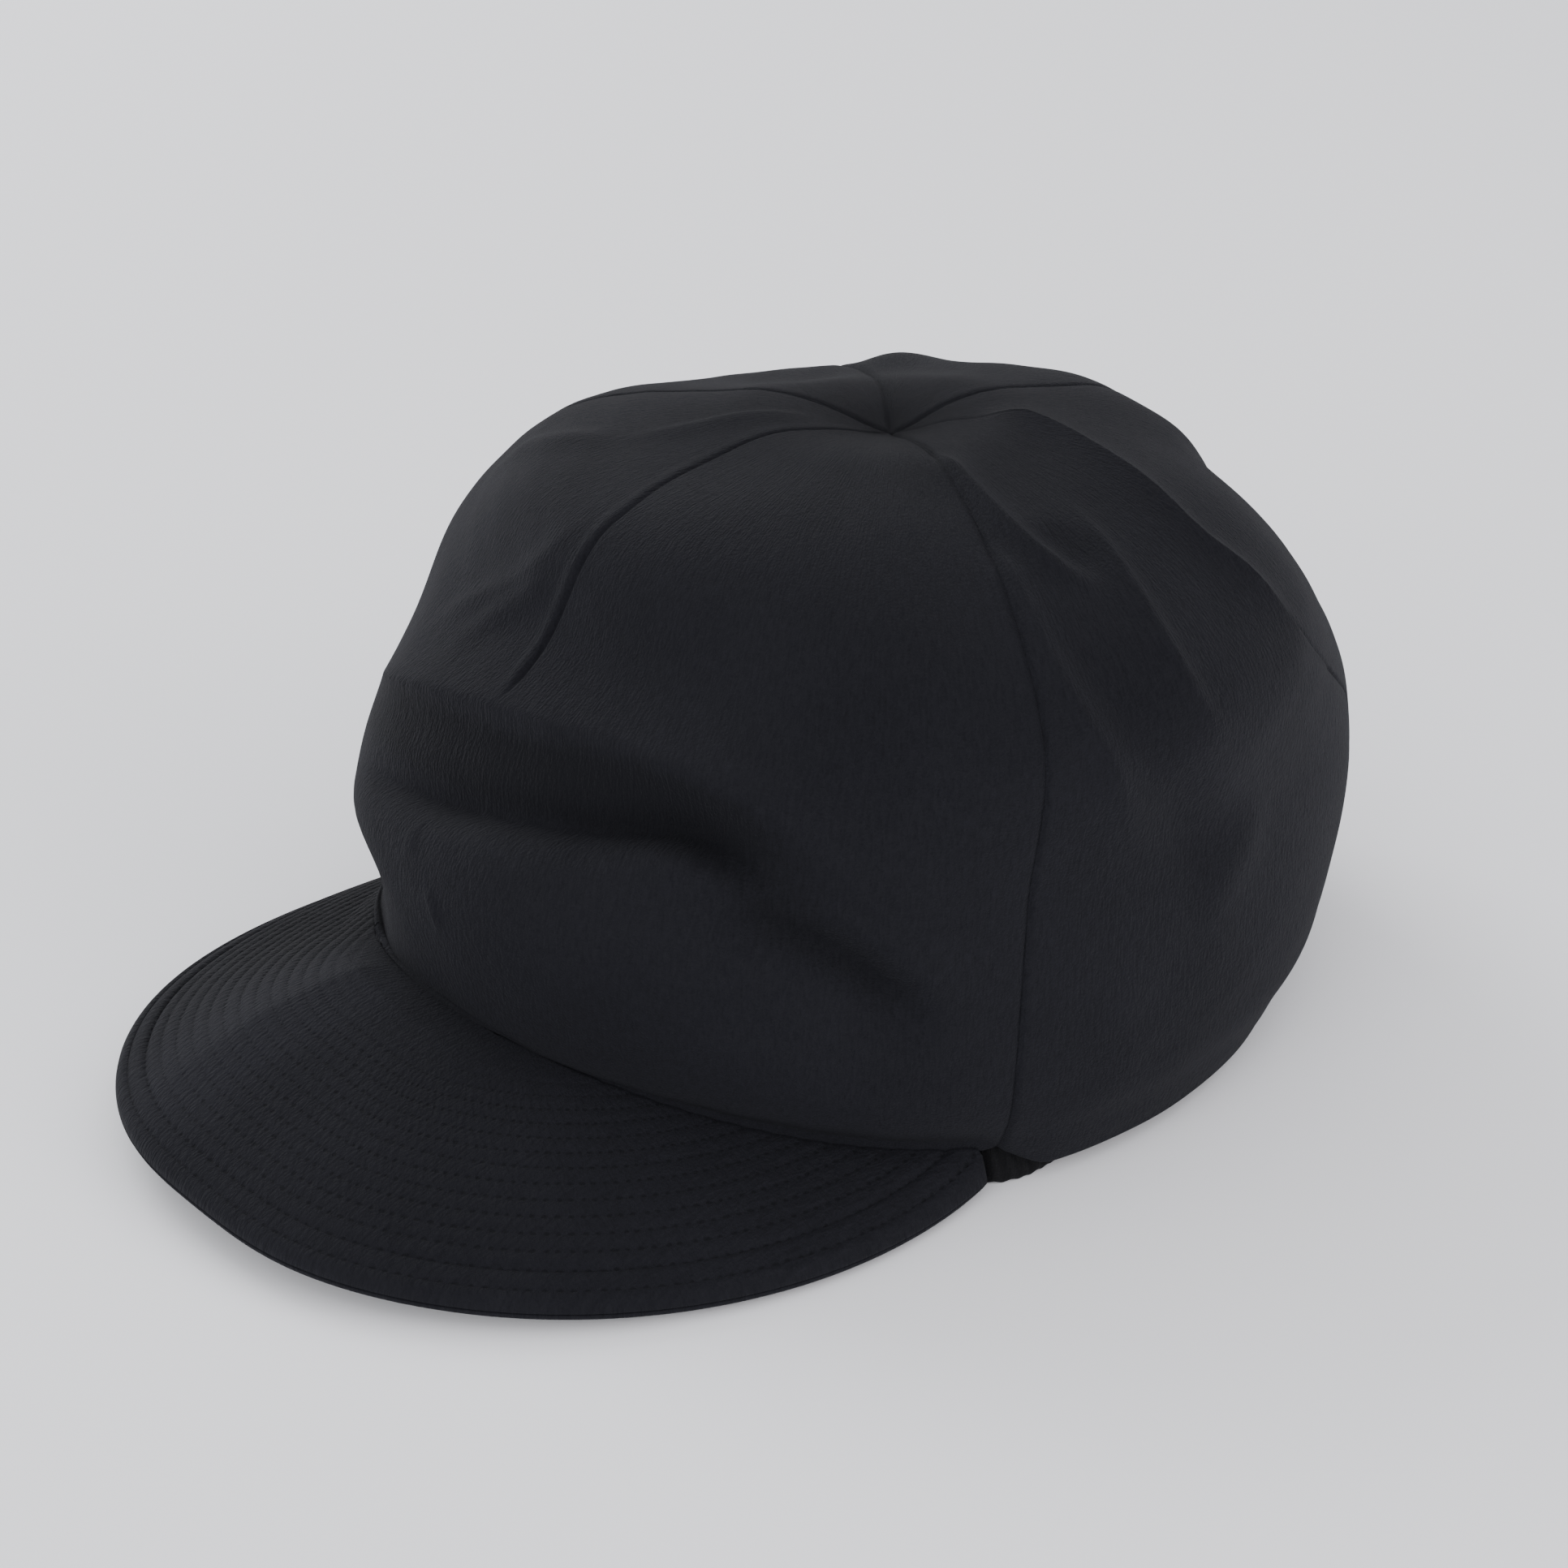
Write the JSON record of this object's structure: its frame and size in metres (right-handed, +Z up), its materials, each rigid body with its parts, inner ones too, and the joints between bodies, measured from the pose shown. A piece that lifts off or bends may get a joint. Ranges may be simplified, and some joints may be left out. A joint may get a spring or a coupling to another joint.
{
  "type": "bump cap",
  "caption": "Soft dark fabric cap with a full panelled crown, short stitched visor, gathered elastic back hem and removable padded bump insert.",
  "frame": {"origin": "centre of the head opening, on the plane that the cap stands on", "axes": "+Z up through the crown, -Y forward along the visor, +X to the side; +Y is the long way"},
  "size_m": [0.1978, 0.2868, 0.127],
  "materials": {
    "crown_fabric": "fine crinkled matt weave, near black",
    "visor_fabric": "fine crinkled matt weave with close rows of stitching",
    "tape_fabric": "plain black tape",
    "sweatband_fabric": "soft wicking knit",
    "foam": "closed-cell foam, dark grey",
    "elastic": "ribbed black elastic",
    "casing_fabric": "gathered thin weave",
    "board": "flexible board",
    "shell_plastic": "moulded, fine satin texture",
    "trim_rubber": "soft matt edge trim",
    "hook_and_loop": "hook and loop pile",
    "webbing": "flat woven webbing"
  },
  "bodies": {
    "crown": {"front_panel": "crown_fabric", "right_side_panel": "crown_fabric", "left_side_panel": "crown_fabric", "right_rear_panel": "crown_fabric", "left_rear_panel": "crown_fabric", "front_dart_tape": "tape_fabric", "right_front_seam_tape": "tape_fabric", "left_front_seam_tape": "tape_fabric", "right_rear_seam_tape": "tape_fabric", "left_rear_seam_tape": "tape_fabric", "back_seam_tape": "tape_fabric", "apex_patch": "tape_fabric", "sweatband": "sweatband_fabric", "sweatband_foam": "foam", "retaining_tabs": "webbing", "loop_patches": "hook_and_loop"},
    "visor": {"visor_board": "board", "visor_top_cover": "visor_fabric", "visor_under_cover": "visor_fabric"},
    "back_band": {"back_elastic": "elastic", "elastic_casing": "casing_fabric"},
    "insert": {"insert_shell": "shell_plastic", "insert_edge_trim": "trim_rubber", "hook_patches": "hook_and_loop", "front_pad": "foam", "rear_pad": "foam", "right_pad": "foam", "left_pad": "foam", "crown_pad": "foam"}
  },
  "joints": [
    {"name": "visor_flip", "type": "hinge", "parent": "crown", "child": "visor", "pos_m": [0, -0.0995, 0.029], "axis": [-1, 0, 0], "range_deg": [0, 30], "stiffness_Nm_per_rad": 0.25},
    {"name": "back_stretch", "type": "slide", "parent": "crown", "child": "back_band", "axis": [0, 1, 0], "range_m": [0, 0.008], "stiffness_N_per_m": 300},
    {"name": "insert_removal", "type": "slide", "parent": "crown", "child": "insert", "axis": [0, 0, -1], "range_m": [0, 0.125]}
  ]
}
